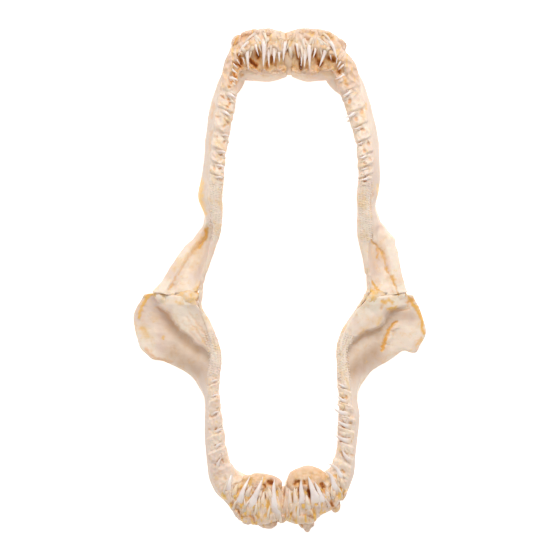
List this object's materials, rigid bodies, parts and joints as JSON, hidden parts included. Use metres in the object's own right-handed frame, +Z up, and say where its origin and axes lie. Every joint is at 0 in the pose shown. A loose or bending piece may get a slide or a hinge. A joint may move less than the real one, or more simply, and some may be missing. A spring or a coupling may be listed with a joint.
{
  "type": "sand tiger shark jaws",
  "caption": "Dried jaws of a sand tiger shark, spread wide and lying on their back with the teeth up; a still, life-size museum specimen.",
  "frame": {"origin": "centre of the jaws' bounding box on the surface they lie on", "axes": "+Y towards the front of the upper jaw, +X towards the animal's left, +Z up, the way the teeth face"},
  "size_m": [0.222, 0.3786, 0.0487],
  "materials": {
    "cartilage": "dried cartilage: ivory with pinkish-lavender shading, satin",
    "teeth_and_gum": "glossy white tooth enamel in dried yellow-cream gum",
    "ligament": "dried ligament: translucent yellow-orange, slightly glossy"
  },
  "bodies": {
    "root": {"upper_cartilage_left": "cartilage", "upper_cartilage_right": "cartilage", "lower_cartilage_left": "cartilage", "lower_cartilage_right": "cartilage", "upper_teeth_left": "teeth_and_gum", "upper_teeth_right": "teeth_and_gum", "lower_teeth_left": "teeth_and_gum", "lower_teeth_right": "teeth_and_gum", "joint_ligament_left": "ligament", "joint_ligament_right": "ligament", "corner_strap_left": "ligament", "corner_strap_right": "ligament", "upper_symphysis": "ligament", "lower_symphysis": "ligament"}
  },
  "joints": []
}
